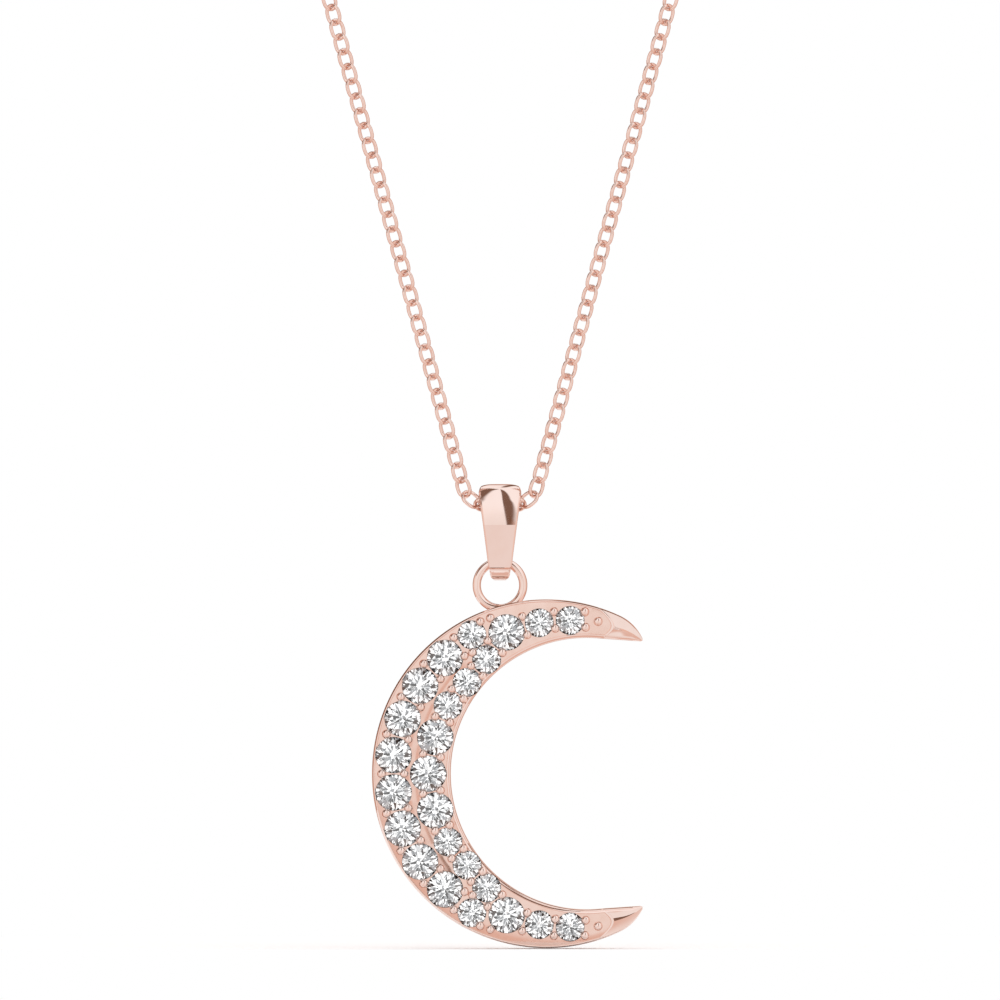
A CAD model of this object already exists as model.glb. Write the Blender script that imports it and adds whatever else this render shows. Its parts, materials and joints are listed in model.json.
import json
import math
import random

import bmesh
import bpy
import numpy as np
from mathutils import Matrix, Vector


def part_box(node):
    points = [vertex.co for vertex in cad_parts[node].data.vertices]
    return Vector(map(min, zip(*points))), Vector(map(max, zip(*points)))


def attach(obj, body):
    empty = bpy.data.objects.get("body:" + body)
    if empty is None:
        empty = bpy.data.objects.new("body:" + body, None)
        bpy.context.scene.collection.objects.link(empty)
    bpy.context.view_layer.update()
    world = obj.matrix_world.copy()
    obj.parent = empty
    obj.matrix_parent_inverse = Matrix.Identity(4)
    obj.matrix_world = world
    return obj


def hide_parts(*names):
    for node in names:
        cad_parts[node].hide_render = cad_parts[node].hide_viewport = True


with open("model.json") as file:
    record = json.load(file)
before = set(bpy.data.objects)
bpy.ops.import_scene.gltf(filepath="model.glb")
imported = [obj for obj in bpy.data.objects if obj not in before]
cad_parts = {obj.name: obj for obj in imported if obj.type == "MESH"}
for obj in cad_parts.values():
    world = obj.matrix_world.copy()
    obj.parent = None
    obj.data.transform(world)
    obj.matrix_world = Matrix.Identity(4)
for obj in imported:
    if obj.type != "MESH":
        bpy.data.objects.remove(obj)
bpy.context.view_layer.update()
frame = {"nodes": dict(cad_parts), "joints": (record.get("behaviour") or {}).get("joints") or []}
scene = bpy.context.scene
MM = 0.001

# ---------------------------------------------------------------------------
# Places from the frame, in millimetres
# ---------------------------------------------------------------------------
joint_at = {j["name"]: np.array(j["pos_m"]) / MM for j in frame["joints"]}
drop = joint_at["bail_swing"]
crescent_low, crescent_high = (np.array(p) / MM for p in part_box("crescent"))
ring_low, ring_high = (np.array(p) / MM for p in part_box("hanger_ring"))

# Sizes that the CAD source uses; the two turns of the outline are in degrees
moon_r = 9.6
hollow_r = 7.48
hollow_shift = 2.22
moon_t = 1.9
tip_turn_r = 2.55
tip_turn_at = 65
inner_turn_at = 84
tip_slope = math.radians(4)
big_r = 0.99
small_r = 0.78
bead_r = 0.23
outer_pitch = 13.95
outer_rim = 0.14
girdle_depth = 0.2
field_depth = 0.1
link_wire = 0.2
link_w = 1.1
link_pitch = 0.844
link_play = 0.02
center_links = 2
leg_links = 156
back_links = 79
leg_lean = math.radians(15.36)
level_half = 0.96
bail_bend_r = 1.05
neck_bend_r = 8.0
back_rise = math.radians(23.5)
clasp_half = 3.79

crescent_mid = (crescent_low + crescent_high) / 2
moon = np.array([crescent_low[0] + moon_r, crescent_mid[1], crescent_mid[2]])
front_y = -moon_t / 2


def unit(v):
    return v / np.linalg.norm(v)


def add_mesh(name, points, faces, smooth=True, sharp=None, origin=(0, 0, 0)):
    """A mesh object from points in millimetres."""
    mesh = bpy.data.meshes.new(name)
    placed = (np.asarray(points, float) + np.asarray(origin, float)) * MM
    mesh.from_pydata(placed.tolist(), [], [list(f) for f in faces])
    mesh.update()
    obj = bpy.data.objects.new(name, mesh)
    scene.collection.objects.link(obj)
    if smooth:
        mesh.shade_smooth()
        if sharp is not None:
            mesh.set_sharp_from_angle(angle=math.radians(sharp))
    return obj


def face_outwards(mesh):
    """Turn every face of a closed mesh outwards."""
    bm = bmesh.new()
    bm.from_mesh(mesh)
    bmesh.ops.recalc_face_normals(bm, faces=bm.faces)
    bm.to_mesh(mesh)
    bm.free()


def weld(mesh, within):
    """Join points that lie together and drop the slivers between them."""
    bm = bmesh.new()
    bm.from_mesh(mesh)
    bmesh.ops.remove_doubles(bm, verts=bm.verts, dist=within)
    bmesh.ops.dissolve_degenerate(bm, edges=bm.edges, dist=within)
    bm.to_mesh(mesh)
    bm.free()


def grid_faces(rows, cols, close_rows=True, flip=False):
    """Quads over rows of points, each row a closed loop."""
    faces = []
    for i in range(rows if close_rows else rows - 1):
        here, there = i * cols, (i + 1) % rows * cols
        for j in range(cols):
            k = (j + 1) % cols
            quad = (here + j, here + k, there + k, there + j)
            faces.append(quad[::-1] if flip else quad)
    return faces


def wire_ring(centre, out, through, wire, count):
    """Points round a wire of the given thickness; out and through are directions across it."""
    turns = [2 * math.pi * j / count for j in range(count)]
    return [centre + wire / 2 * (math.cos(w) * out + math.sin(w) * through) for w in turns]


# ---------------------------------------------------------------------------
# Materials
# ---------------------------------------------------------------------------
class Nodes:
    """Short words for building a node tree."""

    def __init__(self, tree):
        self.tree = tree
        tree.nodes.clear()

    def make(self, kind, **values):
        node = self.tree.nodes.new(kind)
        for key, value in values.items():
            setattr(node, key, value)
        return node

    def link(self, a, b):
        self.tree.links.new(a, b)

    def put(self, socket, value):
        if hasattr(value, "is_output"):
            self.link(value, socket)
        else:
            socket.default_value = value

    def math(self, op, a, b=0.0):
        node = self.make("ShaderNodeMath", operation=op)
        self.put(node.inputs[0], a)
        self.put(node.inputs[1], b)
        return node.outputs[0]

    def vmath(self, op, a, b):
        node = self.make("ShaderNodeVectorMath", operation=op)
        self.put(node.inputs[0], a)
        self.put(node.inputs[1], b)
        return node.outputs["Value" if op == "DOT_PRODUCT" else "Vector"]

    def step(self, value, low, high, to_low=0.0, to_high=1.0):
        """A smooth step from to_low to to_high between low and high."""
        node = self.make("ShaderNodeMapRange", interpolation_type="SMOOTHSTEP")
        self.put(node.inputs["Value"], value)
        node.inputs["From Min"].default_value = low
        node.inputs["From Max"].default_value = high
        node.inputs["To Min"].default_value = to_low
        node.inputs["To Max"].default_value = to_high
        return node.outputs["Result"]

    def mix(self, share, a, b):
        node = self.make("ShaderNodeMix", data_type="RGBA")
        self.put(node.inputs[0], share)
        for socket, value in ((node.inputs[6], a), (node.inputs[7], b)):
            self.put(socket, value if hasattr(value, "is_output") else (*value, 1.0))
        return node.outputs[2]

    def noise(self, vector, scale, detail=3.0, rough=0.55):
        node = self.make("ShaderNodeTexNoise")
        self.put(node.inputs["Vector"], vector)
        node.inputs["Scale"].default_value = scale
        node.inputs["Detail"].default_value = detail
        node.inputs["Roughness"].default_value = rough
        return node.outputs["Fac"]


# Noise scales are per metre
TONE_SCALE = 650.0
HAZE_SCALE = 2600.0
GRAIN_SCALE = 16000.0
HAIRLINE_SCALE = (22000.0, 900.0, 9000.0)
HAIRLINE_TURN = (0.3, 0.5, 0.9)
HAIRLINE_DEPTH = 0.000004
CLOUD_SCALE = 900.0
BRUTED_SCALE = 30000.0
DIAMOND_IOR = 2.417


def start_material(name):
    """A material with a Principled shader, its node words, the shader and the place on the object."""
    mat = bpy.data.materials.new(name)
    mat.use_nodes = True
    n = Nodes(mat.node_tree)
    out = n.make("ShaderNodeOutputMaterial")
    shader = n.make("ShaderNodeBsdfPrincipled")
    n.link(shader.outputs[0], out.inputs[0])
    return mat, n, shader, n.make("ShaderNodeTexCoord").outputs["Object"]


def polished_metal(name, light, deep, rough, scratch=0.04, grain=0.0):
    """Polished metal: the tone wanders a little, the gloss varies, and fine hairlines lie in it."""
    mat, n, shader, at = start_material(name)
    shader.inputs["Metallic"].default_value = 1.0
    shader.inputs["Base Color"].default_value = (*light, 1.0)
    tone = n.noise(at, TONE_SCALE)
    n.link(n.mix(n.step(tone, 0.3, 0.7), light, deep), shader.inputs["Base Color"])
    haze = n.noise(at, HAZE_SCALE, 4.0)
    n.link(n.step(haze, 0.25, 0.75, rough[0], rough[1]), shader.inputs["Roughness"])
    # Hairlines: noise stretched along one direction
    stretch = n.make("ShaderNodeMapping")
    n.link(at, stretch.inputs["Vector"])
    stretch.inputs["Rotation"].default_value = HAIRLINE_TURN
    stretch.inputs["Scale"].default_value = HAIRLINE_SCALE
    height = n.noise(stretch.outputs["Vector"], 1.0, 2.0)
    if grain:
        height = n.math("ADD", height, n.math("MULTIPLY", n.noise(at, GRAIN_SCALE, 2.0), grain))
    bump = n.make("ShaderNodeBump")
    bump.inputs["Strength"].default_value = scratch
    bump.inputs["Distance"].default_value = HAIRLINE_DEPTH
    n.link(height, bump.inputs["Height"])
    n.link(bump.outputs["Normal"], shader.inputs["Normal"])
    return mat


def diamond(name):
    """Clear diamond with a faint cloud in its tint."""
    mat, n, shader, at = start_material(name)
    shader.inputs["Transmission Weight"].default_value = 1.0
    shader.inputs["IOR"].default_value = DIAMOND_IOR
    shader.inputs["Roughness"].default_value = 0.0
    cloud = n.step(n.noise(at, CLOUD_SCALE), 0.35, 0.7)
    n.link(n.mix(cloud, (1.0, 1.0, 1.0), (0.975, 0.985, 0.99)), shader.inputs["Base Color"])
    return mat


def frosted(name):
    """The bruted girdle of a stone."""
    mat, n, shader, at = start_material(name)
    shader.inputs["Transmission Weight"].default_value = 0.4
    shader.inputs["IOR"].default_value = DIAMOND_IOR
    grain = n.noise(at, BRUTED_SCALE, 2.0)
    n.link(n.mix(grain, (0.20, 0.205, 0.215), (0.34, 0.35, 0.36)), shader.inputs["Base Color"])
    n.link(n.step(grain, 0.3, 0.7, 0.35, 0.6), shader.inputs["Roughness"])
    return mat


# Each metal: its lighter and deeper tone, then its least and most roughness
ROSE = ((0.890, 0.712, 0.650), (0.872, 0.676, 0.606))
WIRE = ((0.882, 0.680, 0.610), (0.858, 0.636, 0.560))
SPRING_RING = ((0.895, 0.675, 0.598), (0.870, 0.632, 0.550))
FIELD = ((0.862, 0.648, 0.572), (0.835, 0.600, 0.515))
RECESS = ((0.34, 0.24, 0.20), (0.24, 0.165, 0.135))
STEEL = ((0.62, 0.61, 0.60), (0.54, 0.53, 0.52))
gold = polished_metal("rose_gold_polish", *ROSE, (0.045, 0.085))
gold_chain = polished_metal("rose_gold_wire", *WIRE, (0.05, 0.10))
gold_clasp = polished_metal("rose_gold_spring_ring", *SPRING_RING, (0.06, 0.12))
gold_bead = polished_metal("rose_gold_bead", *ROSE, (0.09, 0.14))
gold_field = polished_metal("rose_gold_field", *FIELD, (0.10, 0.19), scratch=0.08, grain=0.5)
gold_recess = polished_metal("rose_gold_recess", *RECESS, (0.32, 0.48), grain=0.4)
steel = polished_metal("spring_wire", *STEEL, (0.12, 0.22))
clear = diamond("diamond_clear")
girdle_mat = frosted("diamond_girdle")

# ---------------------------------------------------------------------------
# Camera: far away with a long lens, level, in front of the pendant
# ---------------------------------------------------------------------------
VIEW_W = 55.06
VIEW_RAISE = 0.28
LENS = 1000.0
SENSOR_W = 36.0
view_mid = np.array([0.0, drop[1] + front_y, drop[2] + VIEW_RAISE])
cam_data = bpy.data.cameras.new("camera")
cam = bpy.data.objects.new("camera", cam_data)
scene.collection.objects.link(cam)
scene.camera = cam
cam_data.lens = LENS
cam_data.sensor_width = SENSOR_W
cam_data.clip_start = 0.01
cam_data.clip_end = 50.0
cam_away = LENS * VIEW_W / SENSOR_W
cam.location = Vector((view_mid - np.array([0, cam_away, 0])) * MM)
cam.rotation_euler = (math.radians(90), 0, 0)

# ---------------------------------------------------------------------------
# The chain: the route and the links repeat the CAD source
# ---------------------------------------------------------------------------
up_leg = np.array([math.sin(leg_lean), 0, math.cos(leg_lean)])
to_back = np.array([0, math.cos(back_rise), math.sin(back_rise)])
neck_turn = math.acos(up_leg @ to_back)
turn_side = (to_back - (to_back @ up_leg) * up_leg) / math.sin(neck_turn)
bail_turn = math.pi / 2 - leg_lean
leg_top_s = (leg_links + 0.5) * link_pitch
bail_bend_len = bail_bend_r * bail_turn
leg_len = leg_top_s - level_half - bail_bend_len
neck_bend_len = neck_bend_r * neck_turn
leg_foot = np.array([
    level_half + bail_bend_r * math.sin(bail_turn),
    0,
    bail_bend_r * (1 - math.cos(bail_turn)),
])
leg_top = leg_foot + leg_len * up_leg
neck_side = leg_top + neck_bend_r * (math.sin(neck_turn) * up_leg + (1 - math.cos(neck_turn)) * turn_side)
nape_r = neck_side[0] - clasp_half
side_len = back_links * link_pitch - neck_bend_len - nape_r * math.pi / 2


def route(s):
    """The right half of the chain's line, seen from its middle in the bail."""
    if s < level_half:
        return np.array([s, 0.0, 0.0])
    if s < level_half + bail_bend_len:
        a = (s - level_half) / bail_bend_r
        return np.array([level_half + bail_bend_r * math.sin(a), 0, bail_bend_r * (1 - math.cos(a))])
    if s < leg_top_s:
        return leg_foot + (s - level_half - bail_bend_len) * up_leg
    if s < leg_top_s + neck_bend_len:
        a = (s - leg_top_s) / neck_bend_r
        return leg_top + neck_bend_r * (math.sin(a) * up_leg + (1 - math.cos(a)) * turn_side)
    if s < leg_top_s + neck_bend_len + side_len:
        return neck_side + (s - leg_top_s - neck_bend_len) * to_back
    a = (s - leg_top_s - neck_bend_len - side_len) / nape_r
    inward = np.array([nape_r * (1 - math.cos(a)), 0, 0])
    return neck_side + (side_len + nape_r * math.sin(a)) * to_back - inward


last_link = leg_links + back_links
hooks = [np.array([-link_pitch / 2, 0, 0])]
hooks += [route((k - 0.5) * link_pitch) for k in range(1, last_link + 2)]
sides = []
side = np.array([0.0, -1.0, 0.0])
for k in range(last_link + 1):
    t = unit(hooks[k + 1] - hooks[k])
    if k:
        side = unit(side - (side @ t) * t)
    sides.append(side)

LINK_BEND = 12
LINK_SIDES = 12
LINK_TURN = math.pi / 4
PATH_POINTS = 60


def link_template():
    """One link: two half rings joined by straights, as rings of points round its wire."""
    bend_r = (link_w - link_wire) / 2
    straight = link_pitch + link_play + 2 * link_wire - link_w
    rings = []
    for end in (1, -1):
        for i in range(LINK_BEND + 1):
            a = -math.pi / 2 + math.pi * i / LINK_BEND
            out = np.array([end * math.cos(a), end * math.sin(a), 0.0])
            centre = np.array([end * straight / 2, 0, 0]) + bend_r * out
            rings += wire_ring(centre, out, np.array([0, 0, 1.0]), link_wire, LINK_SIDES)
    return np.array(rings)


link_points = link_template()
link_faces = np.array(grid_faces(2 * (LINK_BEND + 1), LINK_SIDES, flip=True))


def link_frame(k):
    """The directions along link k, across it and through it, and its middle."""
    t = unit(hooks[k + 1] - hooks[k])
    turn = LINK_TURN if k % 2 == 0 else -LINK_TURN
    u = math.cos(turn) * sides[k] + math.sin(turn) * np.cross(t, sides[k])
    return t, u, np.cross(t, u), (hooks[k] + hooks[k + 1]) / 2


def chain_mesh(name, runs):
    """Links k of each run (first, last, mirrored) in one mesh."""
    points, faces, at = [], [], 0
    for first, last, mirrored in runs:
        for k in range(first, last + 1):
            t, u, v, p = link_frame(k)
            placed = p + link_points @ np.array([t, u, v])
            quads = link_faces
            if mirrored:
                placed = placed * np.array([-1, 1, 1])
                quads = link_faces[:, ::-1]
            points.append(placed)
            faces.append(quads + at)
            at += len(placed)
    obj = add_mesh(name, np.concatenate(points), np.concatenate(faces).tolist(), origin=drop)
    obj.data.materials.append(gold_chain)
    return obj


def leg_path(mirrored):
    """The line of one hanging leg, from the bail to the side of the neck, in metres."""
    s = np.linspace((center_links + 0.5) * link_pitch, leg_top_s - 0.001, PATH_POINTS)
    line = np.array([route(x) for x in s])
    if mirrored:
        line = line * np.array([-1, 1, 1])
    return (line + drop) * MM


chain_mid = chain_mesh("links_in_bail", [(0, center_links, False), (1, center_links, True)])
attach(chain_mid, "front_chain")
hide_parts("chain_center")
for word, mirrored in (("right", False), ("left", True)):
    leg = chain_mesh(f"links_{word}_leg", [(center_links + 1, leg_links, mirrored)])
    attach(leg, "front_chain")
    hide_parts(f"chain_{word}_lower", f"chain_{word}_upper")
    path = leg_path(mirrored)
    back = chain_mesh(f"links_{word}_back", [(leg_links + 1, last_link, mirrored)])
    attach(back, "back_chain")
    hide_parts(f"chain_back_{word}")

# ---------------------------------------------------------------------------
# The crescent: its outline and the stones' places repeat the CAD source
# ---------------------------------------------------------------------------
hollow_mid = np.array([hollow_shift, 0])
FLIP = np.array([1, -1])


def polar(r, degrees):
    return np.array([r * math.cos(math.radians(degrees)), r * math.sin(math.radians(degrees))])


def band_in(degrees):
    a = math.radians(degrees)
    return hollow_shift * math.cos(a) + math.sqrt(hollow_r**2 - (hollow_shift * math.sin(a)) ** 2)


def mid_band(degrees):
    return polar((band_in(degrees) + moon_r) / 2, degrees)


def outer_stone(r, degrees):
    return polar(moon_r - outer_rim - r, degrees)


def inner_stone(r, rim, degrees):
    return hollow_mid + polar(hollow_r + rim + r, degrees)


row_end = 180 - 3.5 * outer_pitch
outer_row = [(big_r, outer_stone(big_r, 180 - (k + 0.5) * outer_pitch)) for k in range(4)]
outer_row += [
    (small_r, outer_stone(small_r, row_end - 13)),
    (big_r, mid_band(row_end - 25.5)),
    (small_r, mid_band(row_end - 38.5)),
    (small_r, mid_band(row_end - 50)),
]
middle_stone = (big_r, inner_stone(big_r, 0.26, 180))
inner_row = [
    (big_r, inner_stone(big_r, 0.11, 166.4)),
    (small_r, inner_stone(small_r, 0.25, 153.8)),
    (small_r, inner_stone(small_r, 0.03, 142.6)),
    (small_r, inner_stone(small_r, 0.1, 131.2)),
]


def flipped(stone):
    return stone[0], stone[1] * FLIP


stones = outer_row + inner_row + [middle_stone]
stones += [flipped(s) for s in outer_row] + [flipped(s) for s in inner_row]

# How far a bead's centre stands from the edges of its two stones
OUT_LAP = 0.23
MID_LAP = 0.19
BEAD_LAP = 0.15
TIP_BEAD_LAP = 0.76
# The widest notch has two beads in place of one
WIDE_SHIFTS = ((-0.34, 0.1), (0.22, 0.3))


def notch(p, q, side, lap=BEAD_LAP):
    """Centre of a bead that laps over two stones, on the given side of the line between them."""
    d = np.linalg.norm(q[1] - p[1])
    e = (q[1] - p[1]) / d
    a, b = p[0] + lap, q[0] + lap
    x = (d * d + a * a - b * b) / (2 * d)
    h = math.sqrt(max(0.0, a * a - x * x))
    return p[1] + x * e + side * h * np.array([-e[1], e[0]])


def notches(line, places, side, lap=BEAD_LAP):
    """Beads between each named stone of a line and the next one."""
    return [notch(line[k], line[k + 1], side, lap) for k in places]


outer_line = [flipped(outer_row[0])] + outer_row
inner_line = [middle_stone] + inner_row + [outer_row[5]]
tip_stone = outer_row[7][1]
wide_notch = notch(outer_line[5], outer_line[6], 1, OUT_LAP)
beads_upper = notches(outer_line, (1, 2, 3, 4, 6, 7), 1, OUT_LAP)
beads_upper += [wide_notch + np.array(shift) for shift in WIDE_SHIFTS]
beads_upper += notches(outer_line, (1, 2, 3), -1, MID_LAP) + notches(outer_line, (5, 6, 7), -1)
beads_upper += notches(inner_line, range(5), -1) + notches(inner_line, range(4), 1)
# Single beads, at an angle round their stone: two where the rows meet and three at the tip
beads_upper += [outer_row[3][1] + polar(big_r + 0.08, 6), outer_row[4][1] + polar(small_r + MID_LAP, 272)]
beads_upper += [tip_stone + polar(small_r + BEAD_LAP, a) for a in (30, -24)]
beads_upper += [tip_stone + polar(small_r + TIP_BEAD_LAP, -2)]
beads = notches(outer_line, (0,), 1, OUT_LAP) + notches(outer_line, (0,), -1, MID_LAP)
beads += beads_upper + [b * FLIP for b in beads_upper]

# Outline of the upper half: from the middle of the closed side to the tip
tip_centre = polar(moon_r - tip_turn_r, tip_turn_at)
inner_edge = hollow_mid + polar(hollow_r, inner_turn_at)
inner_dir = np.array([math.cos(tip_slope), -math.sin(tip_slope)])


def tip_corner():
    """Where the tip's turn meets the straight inner edge."""
    rel = inner_edge - tip_centre
    b = rel @ inner_dir
    c = rel @ rel - tip_turn_r**2
    return inner_edge + (-b + math.sqrt(b * b - c)) * inner_dir


tip = tip_corner()
tip_to = math.degrees(math.atan2(*(tip - tip_centre)[::-1]))
outer_curve = [polar(moon_r, a) for a in np.linspace(180, tip_turn_at, 240)]
outer_curve += [tip_centre + polar(tip_turn_r, a) for a in np.linspace(tip_turn_at, tip_to, 80)[1:]]
inner_curve = [hollow_mid + polar(hollow_r, a) for a in np.linspace(180, inner_turn_at, 240)]
inner_curve += [inner_edge + (tip - inner_edge) * f for f in np.linspace(0, 1, 60)[1:]]
TIP_R = 0.13
TIP_GAP = 0.005


def rounded_tip(first, second):
    """Both lines stop short of the corner where they meet and go on to the middle of a small arc."""
    corner = first[-1]
    ways = [unit(line[-6] - corner) for line in (first, second)]
    half = math.acos(ways[0] @ ways[1]) / 2
    middle = unit(ways[0] + ways[1])
    centre = corner + middle * TIP_R / math.sin(half)
    turned = []
    for line, way in zip((first, second), ways):
        touch = corner + way * TIP_R / math.tan(half)
        straight = np.linalg.norm(touch - corner) + TIP_GAP
        kept = [p for p in line if np.linalg.norm(p - corner) > straight]
        across = (touch - centre) / TIP_R
        turns = np.linspace(0, math.pi / 2 - half, 24)[:-1]
        arc = [centre + TIP_R * unit(across * math.cos(a) - middle * math.sin(a)) for a in turns]
        turned.append(kept + arc + [centre - TIP_R * middle])
    return turned


outer_curve, inner_curve = rounded_tip(outer_curve, inner_curve)


class Curve:
    """Points along a line by the share of its length."""

    def __init__(self, points):
        self.points = np.array(points)
        steps = np.linalg.norm(np.diff(self.points, axis=0), axis=1)
        self.at = np.concatenate([[0], np.cumsum(steps)])
        self.length = self.at[-1]
        self.at = self.at / self.length

    def __call__(self, share):
        return np.array([np.interp(share, self.at, self.points[:, i]) for i in (0, 1)]).T


outer = Curve(outer_curve)
inner = Curve(inner_curve)
half_len = (outer.length + inner.length) / 2

# The stone field ends in a V that points to the tip; beyond it two bevels meet in a ridge
FIELD_END_X = 2.82
V_REACH = 0.80
V_SPREAD = 0.075
V_ROUND = 0.85
V_RIM = 0.13
V_STEP = 0.06
V_WALL = 0.05
OUTER_SLOPE = 0.07
INNER_SLOPE = 0.09
GROOVE_W = 0.20
GROOVE_LEAST = 0.004
GROOVE_SLOPE = 0.75
shares = np.linspace(0, 1, 4001)
t_v = float(np.interp(FIELD_END_X, ((outer(shares) + inner(shares)) / 2)[:, 0], shares))
t_floor = round(t_v - V_WALL / half_len, 7)
t_rim_end = round(t_v + V_RIM / half_len, 7)
t_near_v = t_v - 0.05
t_tip = 0.97


def smooth_step(x):
    x = min(max(x, 0.0), 1.0)
    return x * x * (3 - 2 * x)


def row_shares(values):
    return {round(float(x), 7) for x in values}


# Rows along the band, as shares of its length: fine near the V, and crowded towards the tip,
# where the last row stops short of the point
RIM_FALL = 0.04
TIP_CROWDING = 1.6
LAST_ROW = 0.92
rows = row_shares(np.linspace(0, t_near_v, 150))
rows |= row_shares(np.linspace(t_near_v, t_v - 1.6 * V_WALL / half_len, 26))
rows |= {t_floor, round(t_v, 7), t_rim_end, round(t_v + (V_RIM + RIM_FALL) / half_len, 7)}
rows |= row_shares(np.linspace(t_v + 0.2 / half_len, t_tip, 46))
rows |= row_shares(1 - (1 - t_tip) * (1 - np.linspace(0, LAST_ROW, 22)) ** TIP_CROWDING)
rows = sorted(rows)

# The rims' profiles: (distance from the edge, depth below the front); each ends on the field
outer_rim_line = [(0.0, 0.24), (0.066, 0.03), (0.084, 0.0), (0.124, 0.0), (0.16, field_depth)]
inner_rim_line = [(0.0, 0.27), (0.05, 0.09), (0.06, 0.082), (0.11, 0.076), (0.135, 0.03)]
inner_rim_line += [(0.205, 0.0), (0.22, 0.0), (0.255, field_depth)]
OUTER_TOP = outer_rim_line[2][0]
INNER_TOP = inner_rim_line[6][0]
FIELD_COLS = 21
RIDGE_COL = FIELD_COLS // 2
BACK_COLS = 10
edge_back = [(0.0, 0.12), (0.012, 0.06), (0.05, 0.018), (0.1, 0.0)]
# Where the band is narrower than this, its rims shrink with it
FULL_RIM_W = 0.9
# The back comes forward towards the tips
BACK_RISE = 0.45
BACK_RISE_FROM = 0.86
# The field leans outwards over the first part of its width, and where it holds two rows of
# stones, which is beyond an angle round the crescent, a shallow step lies between them
LEAN = 0.13
LEAN_TO = 0.4
TWO_ROWS_FROM = 124
TWO_ROWS_FADE = 12
STEP_SLOPE = 0.19
STEP_AT = 0.43
STEP_W = 0.15
STEP_BACK_AT = 0.6


def field_floor(v, width, p):
    """Depth of the field at point p, a share v of the band's width from its outer edge."""
    outward = LEAN * width * max(0.0, LEAN_TO - v) ** 2 / (2 * LEAN_TO)
    two_rows = smooth_step((math.degrees(abs(math.atan2(p[1], p[0]))) - TWO_ROWS_FROM) / TWO_ROWS_FADE)
    back_up = STEP_W * smooth_step((v - STEP_BACK_AT) / (1 - STEP_BACK_AT))
    step_down = STEP_SLOPE * width * (min(max(v - STEP_AT, 0.0), STEP_W) - back_up)
    return field_depth + outward + two_rows * step_down


def tip_height(d, width, fade):
    """Depth beyond the stones: an outer bevel, a narrow groove along its ridge and an inner bevel."""
    ridge = width / 2
    groove = GROOVE_W * fade
    if d <= ridge:
        return V_STEP + OUTER_SLOPE * (ridge - d)
    return V_STEP + GROOVE_SLOPE * min(d - ridge, groove) + INNER_SLOPE * max(0.0, d - ridge - groove)


def front_cols(t, width, squeeze, fade):
    """Places across the front from its outer edge, as (distance, depth on the rims)."""
    lo = outer_rim_line[-1][0] * squeeze
    hi = width - inner_rim_line[-1][0] * squeeze
    if t <= t_rim_end:
        middle = [lo + (hi - lo) * f for f in np.linspace(0, 1, FIELD_COLS + 2)[1:-1]]
    else:
        middle = [lo + (width / 2 - lo) * f for f in np.linspace(0, 1, RIDGE_COL + 2)[1:]]
        foot = width / 2 + max(GROOVE_W * fade, GROOVE_LEAST)
        middle += [foot + (hi - foot) * f for f in np.linspace(0, 1, RIDGE_COL + 1)[:-1]]
    outer_side = [(d * squeeze, y) for d, y in outer_rim_line]
    inner_side = [(width - d * squeeze, y) for d, y in inner_rim_line[::-1]]
    return outer_side + [(d, field_depth) for d in middle] + inner_side


def back_cols(width, squeeze):
    """Places across the back from its inner edge, as (distance from the outer edge, depth off the back)."""
    inner_side = [(width - d * squeeze, y) for d, y in edge_back]
    outer_side = [(d * squeeze, y) for d, y in edge_back[::-1]]
    edge = edge_back[-1][0] * squeeze
    flat = [(width - edge - (width - 2 * edge) * f, 0.0) for f in np.linspace(0, 1, BACK_COLS + 2)[1:-1]]
    return inner_side + flat + outer_side


def band_row(t):
    """One closed row of points across the band at share t: the front, then the back."""
    o0, i0 = outer(t), inner(t)
    width = float(np.linalg.norm(o0 - i0))
    squeeze = min(1.0, width / FULL_RIM_W)
    fade = max(0.0, 1 - (t - t_rim_end) / (t_tip - t_rim_end)) * squeeze
    top_from = OUTER_TOP * squeeze
    top_to = width - INNER_TOP * squeeze
    out = []
    for d, y in front_cols(t, width, squeeze, fade):
        v = d / width
        swell = math.sin(math.pi * min(max(v, 0.0), 1.0)) ** V_ROUND
        along = min(t + V_REACH / half_len * swell * math.exp(-(((t - t_v) / V_SPREAD) ** 2)), 1.0)
        o1, i1 = outer(along), inner(along)
        p = o1 + (i1 - o1) * v
        on_edge = d <= top_from + 1e-9 or d >= top_to - 1e-9
        if t <= t_floor:
            on_rim = y < field_depth or d < OUTER_TOP or d > width - INNER_TOP
            h = y if on_rim else field_floor(v, width, p)
        elif t <= t_rim_end:
            h = y if on_edge else 0.0
        else:
            h = tip_height(min(max(d, top_from), top_to), width, fade)
            h += y * min(1.0, 1.5 * squeeze) if on_edge else 0.0
        out.append((p[0], front_y + h, p[1]))
    rise = BACK_RISE * smooth_step((t - BACK_RISE_FROM) / (1 - BACK_RISE_FROM)) ** 2
    for d, y in back_cols(width, squeeze):
        p = o0 + (i0 - o0) * (d / width)
        out.append((p[0], -front_y - y * squeeze - rise, p[1]))
    return out


# The share of the way from the last row to the tip at which the end is closed
TIP_CLOSE = 0.6


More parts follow.
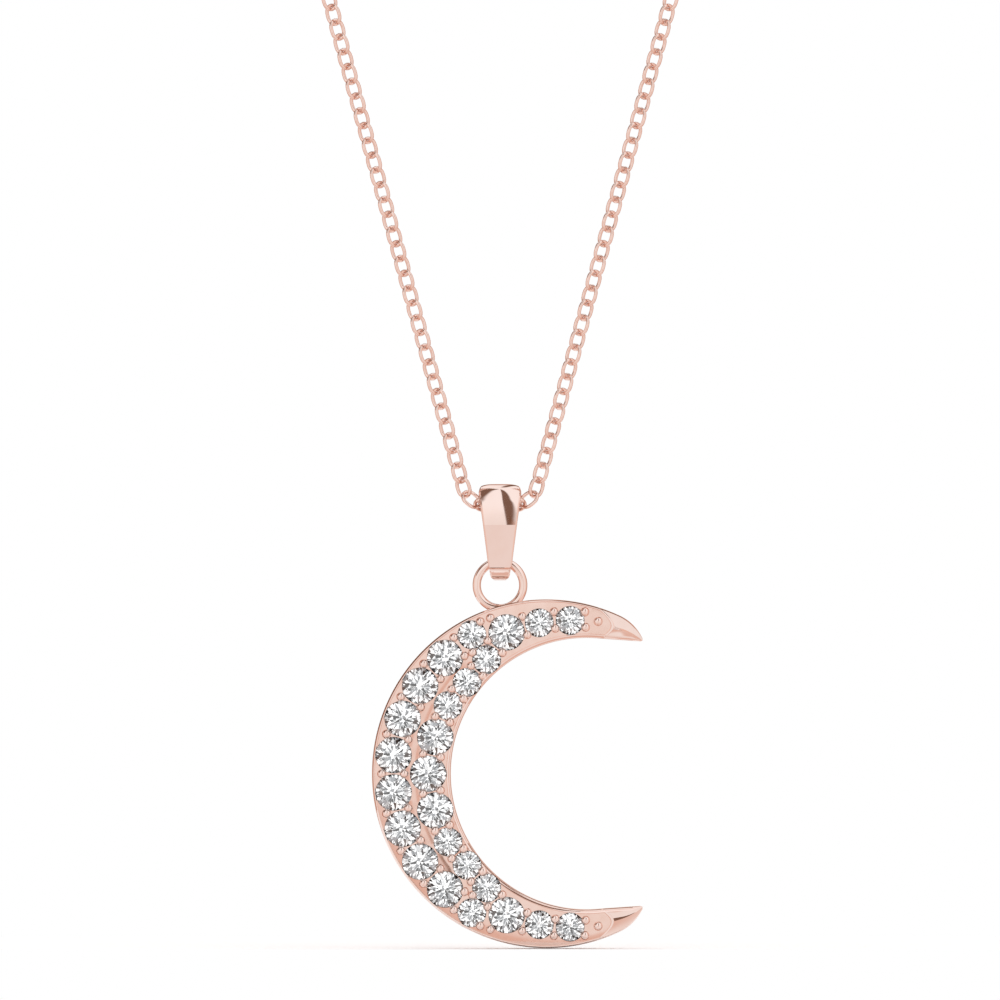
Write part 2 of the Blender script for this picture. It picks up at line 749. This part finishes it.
def crescent_mesh():
    half = [np.array(band_row(t)) for t in rows]
    cols = len(half[0])
    full = [r * np.array([1, 1, -1]) for r in half[:0:-1]] + half
    faces = grid_faces(len(full), cols, close_rows=False, flip=True)
    # Close both ends with a fan to one point
    tips = []
    for sign, row in ((-1, full[0]), (1, full[-1])):
        centre = row.mean(axis=0)
        ahead = np.array([tip[0], centre[1], sign * tip[1]]) - centre
        tips.append(centre + ahead * TIP_CLOSE)
    last = (len(full) - 1) * cols
    for j in range(cols):
        k = (j + 1) % cols
        faces.append((last + cols, k, j))
        faces.append((last + cols + 1, last + j, last + k))
    obj = add_mesh("crescent_body", np.concatenate(full + [np.array(tips)]), faces, origin=moon)
    # The field between the rims has its own finish
    first, end = len(outer_rim_line) - 1, len(outer_rim_line) + FIELD_COLS
    in_field = [rows[abs(i - len(half) + 1)] <= t_floor for i in range(len(full))]
    for k, polygon in enumerate(obj.data.polygons[:last]):
        i, j = divmod(k, cols)
        if first <= j < end and in_field[i] and in_field[i + 1]:
            polygon.material_index = 2
    return obj


def lathe(profile, segments, centre, phase=0.0):
    """A closed shape turned about a line along Y; profile is (radius, y) from front pole to back pole."""
    points = []
    for r, y in profile[1:-1]:
        for i in range(segments):
            a = 2 * math.pi * i / segments + phase
            points.append((centre[0] + r * math.cos(a), y, centre[1] + r * math.sin(a)))
    points += [(centre[0], y, centre[1]) for y in (profile[0][1], profile[-1][1])]
    faces = grid_faces(len(profile) - 2, segments, close_rows=False)
    pole = (len(profile) - 2) * segments
    last = pole - segments
    for j in range(segments):
        k = (j + 1) % segments
        faces.append((pole, k, j))
        faces.append((pole + 1, last + j, last + k))
    return points, faces


def many(shapes):
    """Several shapes as one."""
    points, faces = [], []
    for p, f in shapes:
        at = len(points)
        points += list(p)
        faces += [tuple(i + at for i in face) for face in f]
    return points, faces


# A stone's seat: a small chamfer, a straight wall, a cone under the stone and an open hole.
# The wall's end, the cone and the hole are in proportion to the stone
SEAT_GAP = 0.012
CHAMFER_W = 0.012
CHAMFER_FROM = 0.02
CHAMFER_TO = 0.045
HOLE_R = 0.45
WALL_END = 0.08
CONE_SLOPE = 0.86
CUT_BEYOND = 0.4
girdle_y = front_y + girdle_depth


def seat(stone):
    r = stone[0] + SEAT_GAP
    hole = HOLE_R * stone[0]
    deep = girdle_y + WALL_END * stone[0]
    front, back = front_y - CUT_BEYOND, -front_y + CUT_BEYOND
    profile = [(0, front), (r + CHAMFER_W, front), (r + CHAMFER_W, front_y + CHAMFER_FROM)]
    profile += [(r, front_y + CHAMFER_TO), (r, deep), (hole, deep + CONE_SLOPE * (r - hole))]
    profile += [(hole, back), (0, back)]
    # Seats are turned a little from each other, so that their facets don't line up
    return lathe(profile, 72, stone[1], phase=0.013 + 0.1 * stone[1][0])


# After the seats are cut, points this close together are joined, in metres
WELD_WITHIN = 3e-7
crescent = crescent_mesh()
cut_points, cut_faces = many([seat(s) for s in stones])
cutter = add_mesh("seat_cutter", cut_points, cut_faces, smooth=False, origin=moon)
for obj in (crescent, cutter):
    face_outwards(obj.data)
    for material in (gold, gold_recess, gold_field):
        obj.data.materials.append(material)
for polygon in cutter.data.polygons:
    polygon.material_index = 1
boolean = crescent.modifiers.new("seats", "BOOLEAN")
boolean.operation = "DIFFERENCE"
boolean.object = cutter
boolean.solver = "EXACT"
boolean.use_self = True
boolean.material_mode = "INDEX"
bpy.context.view_layer.update()
done = bpy.data.meshes.new_from_object(crescent.evaluated_get(bpy.context.evaluated_depsgraph_get()))
crescent.modifiers.clear()
weld(done, WELD_WITHIN)
crescent.data = done
bpy.data.objects.remove(cutter)
crescent.data.shade_smooth()
crescent.data.set_sharp_from_angle(angle=math.radians(32))
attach(crescent, "moon")
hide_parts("crescent")

# Beads: a round head that laps over the stones' edges, on a short neck
BEAD_R = 0.265
BEAD_ARC = 12
BEAD_NECK = ((0.97, 0.28), (0.9, 0.36))
BEAD_FOOT = 0.37
bead_top = front_y + 0.4 * bead_r - bead_r


def bead(centre, size):
    r = BEAD_R * size
    turns = [math.pi / 2 * i / BEAD_ARC for i in range(1, BEAD_ARC + 1)]
    profile = [(0, bead_top)] + [(r * math.sin(a), bead_top + r * (1 - math.cos(a))) for a in turns]
    profile += [(r * f, front_y + y) for f, y in BEAD_NECK] + [(0, front_y + BEAD_FOOT)]
    return lathe(profile, 32, centre)


rng = random.Random(7)
bead_points, bead_faces = many([bead(b, rng.uniform(0.94, 1.0)) for b in beads])
bead_obj = add_mesh("set_beads", bead_points, bead_faces, sharp=60, origin=moon)
face_outwards(bead_obj.data)
bead_obj.data.materials.append(gold_bead)
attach(bead_obj, "moon")
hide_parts("prong_beads")


# ---------------------------------------------------------------------------
# Stones: round brilliants with 57 facets and a frosted girdle
# ---------------------------------------------------------------------------
CROWN = math.radians(34.5)
PAVILION = math.radians(40.75)
TABLE_R = 0.57
GIRDLE_H = 0.05
LOWER_R = 0.22
MOST_TILT = 0.5
UP = Vector((0, 0, 1))


def brilliant_mesh():
    """A unit brilliant along +Z, girdle radius 1, with its girdle from z 0 to GIRDLE_H."""
    bm = bmesh.new()
    bmesh.ops.create_cone(bm, cap_ends=True, segments=64, radius1=0.998, radius2=0.998, depth=3.0)

    def cut(point, normal):
        geom = bm.verts[:] + bm.edges[:] + bm.faces[:]
        found = bmesh.ops.bisect_plane(
            bm, geom=geom, dist=1e-6, plane_co=point, plane_no=normal, clear_outer=True
        )
        edges = [g for g in found["geom_cut"] if isinstance(g, bmesh.types.BMEdge)]
        if edges:
            bmesh.ops.contextual_create(bm, geom=edges)

    def cut_through(a, b, c, outward):
        normal = (b - a).cross(c - a).normalized()
        cut(a, normal if normal.dot(outward) > 0 else -normal)

    def at(r, degrees, z):
        return Vector((r * math.cos(math.radians(degrees)), r * math.sin(math.radians(degrees)), z))

    def main_facet(slope, degrees, up):
        """The way a main facet faces."""
        return at(math.sin(slope), degrees, up * math.cos(slope))

    # Star and lower facets meet the main ones halfway round
    near = math.cos(math.radians(22.5))
    table_z = (1 - TABLE_R) * math.tan(CROWN) + GIRDLE_H
    star_r = (TABLE_R * near + 1) / 2
    star_z = math.tan(CROWN) * (1 - star_r * near) + GIRDLE_H
    lower_z = math.tan(PAVILION) * (1 - LOWER_R * near)
    cut(at(0, 0, table_z), UP)
    for a in range(0, 360, 45):
        cut(at(1, a, GIRDLE_H), main_facet(CROWN, a, 1))
        cut(at(1, a, 0), main_facet(PAVILION, a, -1))
    for corner in range(0, 360, 45):
        a = corner + 22.5
        star = at(star_r, a, star_z)
        cut_through(at(TABLE_R, corner, table_z), at(TABLE_R, corner + 45, table_z), star, UP)
        for beside in (corner, corner + 45):
            cut_through(at(1, beside, GIRDLE_H), at(1, a, GIRDLE_H), star, UP)
            cut_through(at(1, beside, 0), at(1, a, 0), at(LOWER_R, a, -lower_z), -UP)
    bmesh.ops.remove_doubles(bm, verts=bm.verts[:], dist=1e-4)
    bmesh.ops.recalc_face_normals(bm, faces=bm.faces)
    mesh = bpy.data.meshes.new("brilliant")
    bm.to_mesh(mesh)
    bm.free()
    return mesh


def random_turn(low, high, axis):
    """A turn about an axis by a random angle between two limits in degrees."""
    return Matrix.Rotation(math.radians(rng.uniform(low, high)), 4, axis)


unit_stone = brilliant_mesh()
unit_stone.materials.append(clear)
unit_stone.materials.append(girdle_mat)
for polygon in unit_stone.polygons:
    polygon.material_index = 1 if abs(polygon.normal.z) < 0.1 else 0
face_front = Matrix.Rotation(math.radians(90), 4, "X")
for k, (r, centre) in enumerate(stones):
    name = f"brilliant_{k + 1:02d}"
    mesh = unit_stone.copy()
    mesh.name = name
    tilt = random_turn(-MOST_TILT, MOST_TILT, "X") @ random_turn(-MOST_TILT, MOST_TILT, "Y")
    spin = random_turn(0, 45, "Z")
    place = Matrix.Translation(Vector((moon + np.array([centre[0], girdle_y, centre[1]])) * MM))
    mesh.transform(place @ face_front @ tilt @ spin @ Matrix.Scale(r * MM, 4))
    stone = bpy.data.objects.new(name, mesh)
    scene.collection.objects.link(stone)
    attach(stone, "moon")
    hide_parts(f"stone_{k + 1:02d}")

# ---------------------------------------------------------------------------
# Hanger ring
# ---------------------------------------------------------------------------
ring_wire = ring_high[1] - ring_low[1]
ring_r = (ring_high[0] - ring_low[0] - ring_wire) / 2
ring_mid = (ring_low + ring_high) / 2


def torus(mean_r, wire, rings, round_n):
    points = []
    for i in range(rings):
        a = 2 * math.pi * i / rings
        out = np.array([math.cos(a), 0, math.sin(a)])
        points += wire_ring(mean_r * out, out, np.array([0, 1, 0]), wire, round_n)
    return points, grid_faces(rings, round_n)


ring = add_mesh("hanging_ring", *torus(ring_r, ring_wire, 128, 28), origin=ring_mid)
ring.data.materials.append(gold)
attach(ring, "moon")
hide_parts("hanger_ring")

# ---------------------------------------------------------------------------
# Bail: a folded strap, crowned across, with an arch over the chain and an eye for the ring
# ---------------------------------------------------------------------------
BAIL_TOP = 1.16
BAIL_BOTTOM = -4.14
CREASE_Z = -1.09
BEVEL_W = 0.095
# Heights where the strap's width changes its course, half its width there, and how it narrows below
TAPER_Z, TAPER_HALF_W, TAPER = 0.83, 1.175, 0.123
FOOT_Z, FOOT_HALF_W, FOOT_TAPER = -3.3, 0.667, 0.21
LIP_Z, LIP_HALF_W, LIP_DROP, LIP_H = -3.86, 0.549, 0.19, 0.285
TOP_DROP, TOP_H = 0.05, 0.33
# The outer face's crown across the strap: its radius at three heights, full beyond CROWN_FULL
CROWN_AT = (CREASE_Z - 1.5, CREASE_Z, 0.35)
CROWN_R = (9.0, 6.2, 2.4)
CROWN_FULL = 0.75
# How far the corners sink at the top of the arch, and the depth over which both shapes fade
TOP_SINK, TOP_SINK_FROM, TOP_SINK_H = 0.16, 0.3, 0.8
FADE_FROM, FADE_OVER = 0.1, 0.2


def bezier(p0, p1, p2, p3, n):
    f = np.linspace(0, 1, n)[:, None]
    return (1 - f) ** 3 * p0 + 3 * f * (1 - f) ** 2 * p1 + 3 * f**2 * (1 - f) * p2 + f**3 * p3


def bail_outer_half():
    """The strap's outer side view from the top of the arch to the bottom, as (depth in front, z)."""
    arch = bezier(*np.array([(0, BAIL_TOP), (0.84, BAIL_TOP), (1.23, 0.13), (1.29, CREASE_Z)]), 34)
    flat = np.linspace(arch[-1], np.array([0.70, -3.44]), 16)[1:]
    neck = [(0.66, -3.475), (0.60, -3.50), (0.55, -3.545), (0.53, -3.60)]
    neck += [(0.535, -3.66), (0.56, -3.71), (0.59, -3.745)]
    turns = np.radians([2, -10, -24, -38, -52, -66, -80])
    lip = [(0.62 * math.cos(a), -3.79 + 0.35 * math.sin(a)) for a in turns]
    return np.concatenate([arch, flat, neck, lip, [(0.0, BAIL_BOTTOM)]])


def side_arc(r, z, first, last, count):
    return [(r * math.cos(a), z + r * math.sin(a)) for a in np.linspace(first, last, count)]


def bail_inner_half():
    """The strap's inner side view: an arch over the chain, straight sides and the eye."""
    arch_r, arch_z = 0.74, -0.14
    eye_r, eye_z = 0.29, -3.13
    low = math.asin((arch_r - eye_r) / (arch_z - eye_z))
    arch = side_arc(arch_r, arch_z, math.pi / 2, -low, 400)
    return Curve(arch + side_arc(eye_r, eye_z, -low, -math.pi / 2, 200))


def bail_half_width(z):
    """Half the strap's width: rounded off at the top, tapered, and drawn in to a round lip."""
    if z > TAPER_Z:
        return TAPER_HALF_W - TOP_DROP * ((z - TAPER_Z) / TOP_H) ** 2
    if z >= FOOT_Z:
        return TAPER_HALF_W - TAPER * (TAPER_Z - z)
    if z >= LIP_Z:
        return FOOT_HALF_W - FOOT_TAPER * (FOOT_Z - z)
    return LIP_HALF_W - LIP_DROP * (1 - math.sqrt(max(0.0, 1 - ((LIP_Z - z) / LIP_H) ** 2)))


def bail_section(half_w, thick):
    """The strap's section as (x, depth): the outer face, a side with its bevels, the inner face, a side."""
    face = [((half_w - BEVEL_W) * u, 0.0) for u in np.linspace(-1, 1, 25)]
    edge = [(half_w - 0.018, 0.062), (half_w, 0.10), (half_w, thick - 0.08)]
    edge += [(half_w - 0.025, thick - 0.025), (half_w - 0.08, thick)]
    inside = [(f * (half_w - 0.08), thick) for f in (0.5, 0, -0.5)]
    return face + edge + inside + [(-x, d) for x, d in edge[::-1]]


def bail_mesh():
    half = bail_outer_half()
    shares_down = Curve(half).at
    inner_half = bail_inner_half()
    # Down the front half and up the back one; their two ends lie on the middle plane
    stations = [(k, -1) for k in range(len(half))] + [(k, 1) for k in range(len(half) - 2, 0, -1)]
    points = []
    for k, side_y in stations:
        o, i = half[k], inner_half(shares_down[k])
        z = o[1]
        o3 = np.array([0, side_y * o[0], z])
        i3 = np.array([0, side_y * i[0], i[1]])
        inward = unit(i3 - o3)
        half_w = bail_half_width(z)
        fall = min(1.0, o[0] / CROWN_FULL) / 2 / np.interp(z, CROWN_AT, CROWN_R)
        top_sink = TOP_SINK * smooth_step((z - TOP_SINK_FROM) / TOP_SINK_H)
        for x, d in bail_section(half_w, float(np.linalg.norm(i3 - o3))):
            fade = max(0.0, 1 - max(d - FADE_FROM, 0.0) / FADE_OVER)
            crown = min(abs(x), half_w - BEVEL_W) ** 2 * fall * fade
            sink = top_sink * (abs(x) / half_w) ** 4 * fade
            points.append(o3 + inward * d + np.array([x, -side_y * crown, -sink]))
    return points, grid_faces(len(stations), len(points) // len(stations))


bail = add_mesh("folded_bail", *bail_mesh(), origin=drop)
face_outwards(bail.data)
bail.data.set_sharp_from_angle(angle=math.radians(14))
bail.data.materials.append(gold)
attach(bail, "bail")
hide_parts("bail")

# ---------------------------------------------------------------------------
# Clasp pieces keep their CAD shape
# ---------------------------------------------------------------------------
for name in ("clasp_tube", "clasp_eyelet", "clasp_bolt", "jump_ring", "end_ring"):
    node = frame["nodes"][name]
    node.data.materials.clear()
    node.data.materials.append(gold_clasp)
    node.data.shade_smooth()
    node.data.set_sharp_from_angle(angle=math.radians(35))
node = frame["nodes"]["clasp_spring"]
node.data.materials.clear()
node.data.materials.append(steel)
node.data.shade_smooth()

# ---------------------------------------------------------------------------
# Floor, world and lights
# ---------------------------------------------------------------------------
FLOOR_GAP = 0.04
floor_z = crescent_low[2] - FLOOR_GAP
floor_w, floor_front, floor_back = 40.0, moon[1] - 2.6, moon[1] + 40.0
floor_points = [(-floor_w, floor_front, floor_z), (floor_w, floor_front, floor_z)]
floor_points += [(floor_w, floor_back, floor_z), (-floor_w, floor_back, floor_z)]
floor = add_mesh("floor", floor_points, [(0, 1, 2, 3)], smooth=False)
floor_mat = bpy.data.materials.new("floor_white")
floor_mat.use_nodes = True
floor_shader = floor_mat.node_tree.nodes["Principled BSDF"]
floor_shader.inputs["Base Color"].default_value = (0.93, 0.93, 0.93, 1)
floor_shader.inputs["Roughness"].default_value = 1.0
floor_shader.inputs["Specular IOR Level"].default_value = 0.0
floor.data.materials.append(floor_mat)

world = bpy.data.worlds.new("studio")
scene.world = world
world.use_nodes = True
world.cycles.sampling_method = "NONE"
n = Nodes(world.node_tree)
world_out = n.make("ShaderNodeOutputWorld")
background = n.make("ShaderNodeBackground")
n.link(background.outputs[0], world_out.inputs[0])
direction = n.make("ShaderNodeTexCoord").outputs["Generated"]
split = n.make("ShaderNodeSeparateXYZ")
n.link(direction, split.inputs[0])
dx, dy, dz = split.outputs
to_degrees = 180 / math.pi
azimuth = n.math("MULTIPLY", n.math("ARCTAN2", dx, n.math("MULTIPLY", dy, -1.0)), to_degrees)
elevation = n.math("MULTIPLY", n.math("ARCSINE", dz), to_degrees)
off_axis = n.math("MULTIPLY", n.math("ARCCOSINE", n.math("MULTIPLY", dy, -1.0)), to_degrees)


def both(a, b):
    return n.math("MULTIPLY", a, b)


def either(a, b):
    return n.math("MAXIMUM", a, b)


def between(value, rise_from, rise_to, fall_from, fall_to):
    return both(n.step(value, rise_from, rise_to), n.step(value, fall_from, fall_to, 1.0, 0.0))


def spot(toward, faint, full):
    """A round patch: full inside one angle from a direction, and nothing outside the other."""
    near = n.vmath("DOT_PRODUCT", direction, toward)
    return n.step(near, math.cos(math.radians(faint)), math.cos(math.radians(full)))


# All angles are in degrees. Soft daylight: brighter above, warmer below
tone = n.mix(n.step(elevation, 2, 30), (0.99, 0.985, 0.98), (1.10, 1.11, 1.12))
tone = n.mix(n.step(elevation, -8, -28), tone, (0.94, 0.88, 0.86))
tone = n.mix(n.step(elevation, -32, -75), tone, (0.84, 0.60, 0.50))
# Warm cards at both sides, round the lens and behind the object
cards = both(n.step(n.math("ABSOLUTE", azimuth), 48, 82), n.step(elevation, 42, 22))
tone = n.mix(both(cards, 0.55), tone, (0.92, 0.62, 0.50))
lens = between(off_axis, 7, 11, 16, 23)
lens = both(lens, either(n.step(azimuth, 9, 13), n.step(elevation, -1, -5)))
tone = n.mix(both(lens, 0.62), tone, (0.74, 0.38, 0.25))
behind = both(between(off_axis, 96, 118, 152, 174), n.step(elevation, 52, 36))
tone = n.mix(both(behind, 0.88), tone, (0.56, 0.30, 0.21))
# Dark flags, for the streaks that a bright scene leaves on polished gold
reach = n.math("SUBTRACT", azimuth, both(n.math("MINIMUM", elevation, 42.0), 0.53))
band_a = both(both(n.step(azimuth, 6, 8), n.step(reach, 6, 13, 1.0, 0.0)), n.step(elevation, 3, 6))
band_b = both(between(azimuth, -112, -107, -60, -40), n.step(elevation, 24, 40))
band_c = both(between(azimuth, 156, 164, 174, 179), between(elevation, 16, 26, 70, 80))
spot_d = spot((-0.351, 0.863, 0.351), 24, 15)
spot_e = spot((-0.775, -0.266, 0.573), 19, 14)
dark = either(either(either(band_a, band_b), either(band_c, spot_d)), spot_e)
tone = n.mix(both(dark, 0.95), tone, (0.17, 0.080, 0.042))

# What the stones gather: white with dark windows, and a grey veil over part of it
speck = n.noise(direction, 3.1, 2.0, 0.7)
sparkle = n.mix(n.step(speck, 0.455, 0.52), (0.012, 0.013, 0.015), (1.6, 1.6, 1.6))
veil = n.noise(n.vmath("ADD", direction, (3.0, 1.0, 2.0)), 4.3, 1.0, 0.5)
sparkle = n.mix(n.step(veil, 0.53, 0.60), sparkle, (0.40, 0.41, 0.43))
# Each kind of ray meets its own light: metal the studio, stones the sparkle, the floor a soft
# white, and the picture itself a plain white
path = n.make("ShaderNodeLightPath")
seen = n.mix(path.outputs["Is Transmission Ray"], tone, sparkle)
seen = n.mix(path.outputs["Is Diffuse Ray"], seen, (1.14, 1.10, 1.09))
seen = n.mix(path.outputs["Is Camera Ray"], seen, (1.0, 1.0, 1.0))
n.link(seen, background.inputs["Color"])

scene.view_settings.view_transform = "Standard"
